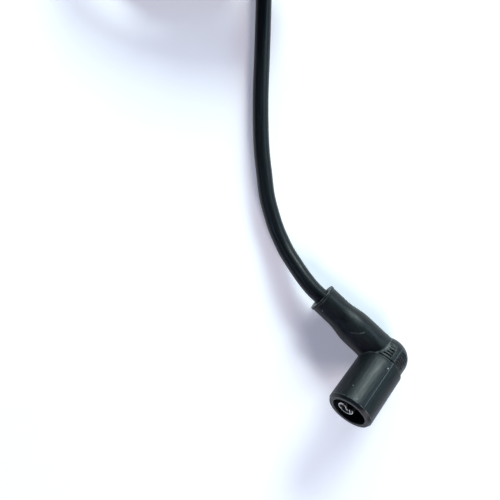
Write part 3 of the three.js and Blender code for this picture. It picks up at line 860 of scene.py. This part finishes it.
def add_plug_boot():
    angle = np.linspace(0.0, 2 * math.pi, PLUG_SIDES, endpoint=False)
    verts = []
    edges = []
    for stretch, outside in zip(plug_profile(), (False, True, False)):
        for radius, height, edge in stretch:
            lined = outside and PLUG_LINE_FROM < height < PLUG_LINE_TO
            line = thin_line(radius * np.cos(angle), PLUG_LINE_WIDTH) * lined
            verts.append(ring(radius + PLUG_LINE_RISE * line, angle, height))
            # The mould line and the profile's edges carry painted highlights
            edges.append(np.maximum(edge, 0.5 * line))
    faces = grid_faces(len(verts), PLUG_SIDES)
    verts = np.vstack(verts)
    faces.append(tuple(range(PLUG_SIDES))[::-1])
    faces.append(tuple(range(len(verts) - PLUG_SIDES, len(verts))))
    grain = verts + PLUG_GRAIN_AT
    return link_mesh("plug_boot_rubber", verts, faces, PLUG_END, grain, np.concatenate(edges))


plug_boot = add_plug_boot()
give(plug_boot, RUBBER)
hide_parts("plug_boot")


# Plug terminal
# A straight socket of the same plated sheet, slit along one side so that it springs onto the plug's stud,
# with a short strap to its crimp.
PLUG_SOCKET_RADIUS = 3.8
PLUG_SOCKET_SPAN = (22.0, 34.0)
PLUG_SLOT_WIDTH = 1.4
PLUG_CRIMP_SPAN = (11.0, 19.0)
PLUG_LINK_OVERLAP = 2.0


def plug_terminal_mesh():
    half_slot = math.degrees(PLUG_SLOT_WIDTH / 2 / PLUG_SOCKET_RADIUS)
    roll = arc((0.0, 0.0), PLUG_SOCKET_RADIUS - SHEET / 2, half_slot, 360.0 - half_slot, 56)
    socket = sheet_strip(roll, *PLUG_SOCKET_SPAN)
    grip = moved(crimp_strip(*PLUG_CRIMP_SPAN), signs=(-1.0, -1.0, 1.0))
    inner = SHEET / 2 - CRIMP_RADIUS
    outer = SHEET / 2 - PLUG_SOCKET_RADIUS
    grip_end = PLUG_CRIMP_SPAN[1]
    socket_end = PLUG_SOCKET_SPAN[0]
    run = [(inner, grip_end - PLUG_LINK_OVERLAP), (inner, grip_end)]
    run += [(outer, socket_end), (outer, socket_end + PLUG_LINK_OVERLAP)]
    link = sheet_strip(run, -LINK_HALF_WIDTH, LINK_HALF_WIDTH)
    return joined([socket, grip, moved(link, columns=(0, 2, 1))])


plug_verts, plug_faces, edge_glints = plug_terminal_mesh()
plug_socket = link_mesh("plug_socket", plug_verts, plug_faces, PLUG_END, plug_verts, edge_glints)
give(plug_socket, STEEL)
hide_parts("plug_terminal")


# Coil strap
# A plain band of woven nylon round both turns of the stored coil, 6 mm wide and 0.7 mm thick, with rolled
# edges and ribs along it.
STRAP_AT = 305.0
STRAP_WIDTH = 6.0
STRAP_THICKNESS = 0.7
STRAP_HALF_WIDTH = 4.9
STRAP_HALF_HEIGHT = 7.45
STRAP_STEPS = 24
STRAP_ROLL = 0.3
STRAP_INNER_INSET = 0.9
STRAP_RIB_PITCH = 0.9
STRAP_RIB_DEPTH = 0.06
STRAP_GRAIN_STEP = 0.6
NYLON_TONES = ((0.008, 0.009, 0.010, 1.0), (0.022, 0.024, 0.026, 1.0))
NYLON_ROUGHNESS = (0.6, 0.8)


def strap_section():
    """Across the band: how far out of its inner face, and how far along the cable."""
    half = STRAP_WIDTH / 2
    flat = half - STRAP_ROLL
    outer = []
    for across in np.linspace(-flat, flat, 25):
        dip = STRAP_RIB_DEPTH * (1.0 - math.cos(2 * math.pi * across / STRAP_RIB_PITCH)) / 2
        outer.append((STRAP_THICKNESS - dip, across))
    inside = half - STRAP_INNER_INSET
    inner = [(0.0, across) for across in np.linspace(inside, -inside, 5)]
    middle = STRAP_THICKNESS / 2
    return outer + [(middle, half), (0.0, flat)] + inner + [(0.0, -flat), (middle, -half)]


def strap_middle():
    """Round the band: points of its inner face and its outward directions."""
    points = []
    straight = STRAP_HALF_HEIGHT - STRAP_HALF_WIDTH
    for turn in np.linspace(0.0, 180.0, STRAP_STEPS + 1):
        out = np.array(on_circle((0.0, 0.0), 1.0, turn))
        points.append((out * STRAP_HALF_WIDTH + [0.0, straight], out))
    points += [(-p, -out) for p, out in points]
    return points


def add_strap():
    verts = []
    grain = []
    section = strap_section()
    count = len(section)
    for index, (point, out) in enumerate(strap_middle()):
        for rise, across in section:
            radial, height = point + out * rise
            verts.append((radial, -across, height))
            grain.append((across, rise, index * STRAP_GRAIN_STEP))
    faces = grid_faces(len(verts) // count, count)
    last = len(verts) - count
    for j in range(count):
        k = (j + 1) % count
        faces.append((last + j, last + k, k, j))
    centre = (*COIL_CENTRE, STRAP_HALF_HEIGHT + STRAP_THICKNESS)
    place = placed(centre, (STRAP_AT, "Z")) @ Matrix.Translation(Vector((COIL_RADIUS, 0.0, 0.0)))
    return link_mesh("coil_strap", verts, faces, place, grain)


def nylon_material():
    material, tree, shader = surface("woven_nylon")
    place = add_node(tree, "ShaderNodeAttribute", {"attribute_name": "grain"}).outputs["Vector"]
    threads = effect(tree, DRAW_LINES, Place=place, Fine=3.0, Stretch=0.5)
    feed(tree, blend(tree, threads, *NYLON_TONES), shader.inputs["Base Color"])
    feed(tree, spread(tree, threads, 0.0, 1.0, *NYLON_ROUGHNESS), shader.inputs["Roughness"])
    bump = add_node(tree, "ShaderNodeBump", Strength=0.6, Distance=0.0001, Height=threads)
    feed(tree, bump.outputs[0], shader.inputs["Normal"])
    return material


coil_strap = add_strap()
give(coil_strap, nylon_material())
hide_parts("coil_tie")


# Table
# A large sheet of plain white paper that the whole lead lies on, and that takes its soft lavender shadow.
# Its faint glow shows to the camera and in reflections only, and lights nothing.
PAPER_HALF = 3.0
PAPER_TONES = ((0.90, 0.90, 0.91, 1.0), (0.93, 0.93, 0.93, 1.0))
PAPER_GLOW_COLOUR = (0.90, 0.91, 1.0, 1.0)
PAPER_GLOW = 0.26


def paper_material():
    material, tree, shader = surface("white_paper", specular=0.1)
    shader.inputs["Roughness"].default_value = 0.95
    shader.inputs["Emission Color"].default_value = PAPER_GLOW_COLOUR
    place = add_node(tree, "ShaderNodeTexCoord").outputs["Object"]
    fibres = add_node(tree, "ShaderNodeTexNoise", Vector=place, Scale=900.0, Detail=3.0)
    tone = blend(tree, spread(tree, fibres.outputs[0], 0.3, 0.7), *PAPER_TONES)
    feed(tree, tone, shader.inputs["Base Color"])
    rays = tree.nodes.new("ShaderNodeLightPath").outputs
    mirrored = maths(tree, "MAXIMUM", rays["Is Glossy Ray"], rays["Is Transmission Ray"])
    seen = maths(tree, "MAXIMUM", rays["Is Camera Ray"], mirrored)
    feed(tree, maths(tree, "MULTIPLY", seen, PAPER_GLOW), shader.inputs["Emission Strength"])
    return material


corners = [(PAPER_HALF * x, PAPER_HALF * y, 0.0) for x, y in ((-1, -1), (1, -1), (1, 1), (-1, 1))]
paper = bpy.data.objects.new("paper", bpy.data.meshes.new("paper"))
paper.data.from_pydata(corners, [], [(0, 1, 2, 3)])
bpy.context.scene.collection.objects.link(paper)
give(paper, paper_material())


# Light
# A large window beyond the top right of the view lights the barrel and draws its streak, and dimmer, bluer
# panes stand round the table. A warmer wall at the bottom right lights the paper, and the room is dim.
LAMP_DISTANCE = 2.2
# The direction that each lamp stands in, its width and height, its power and its colour
LAMPS = {
    "window": ((0.32, -0.82, 0.44), (0.72, 0.60), 42.0, (0.84, 1.0, 0.98)),
    "window_edge": ((0.12, -0.86, 0.50), (0.16, 0.48), 6.5, (0.65, 0.88, 1.0)),
    "left_pane": ((0.66, -0.68, 0.36), (0.64, 0.64), 16.0, (0.72, 0.92, 1.0)),
    "near_pane": ((-0.30, -0.82, 0.48), (0.64, 0.64), 8.0, (0.50, 0.80, 1.0)),
    "side_pane": ((-0.70, -0.55, 0.45), (0.64, 0.64), 6.0, (0.55, 0.92, 1.0)),
    "far_pane": ((0.40, 0.60, 0.70), (0.64, 0.64), 4.0, (0.50, 0.66, 1.0)),
    "far_slit": ((-0.11, 0.84, 0.53), (0.16, 0.16), 2.5, (0.55, 0.55, 1.0)),
    "wall": ((-0.75, 0.25, 0.62), (0.70, 0.70), 23.0, (1.0, 0.90, 0.96)),
}
ROOM_COLOUR = (0.42, 0.46, 0.95, 1.0)
ROOM_STRENGTH = 0.10


def add_lamp(name, toward, size, power, colour):
    """A rectangular lamp in a direction from the lead's own origin, which it faces."""
    place = Vector(toward).normalized() * LAMP_DISTANCE
    data = bpy.data.lights.new(name, "AREA")
    data.shape = "RECTANGLE"
    data.size, data.size_y = size
    data.energy = power
    data.color = colour
    lamp = bpy.data.objects.new(name, data)
    lamp.location = place
    lamp.rotation_euler = (-place).to_track_quat("-Z", "Y").to_euler()
    bpy.context.scene.collection.objects.link(lamp)


for name, values in LAMPS.items():
    add_lamp(name, *values)

room = bpy.data.worlds.new("room")
room.use_nodes = True
backdrop = room.node_tree.nodes["Background"]
backdrop.inputs["Color"].default_value = ROOM_COLOUR
backdrop.inputs["Strength"].default_value = ROOM_STRENGTH
bpy.context.scene.world = room
bpy.context.scene.view_settings.view_transform = "Standard"
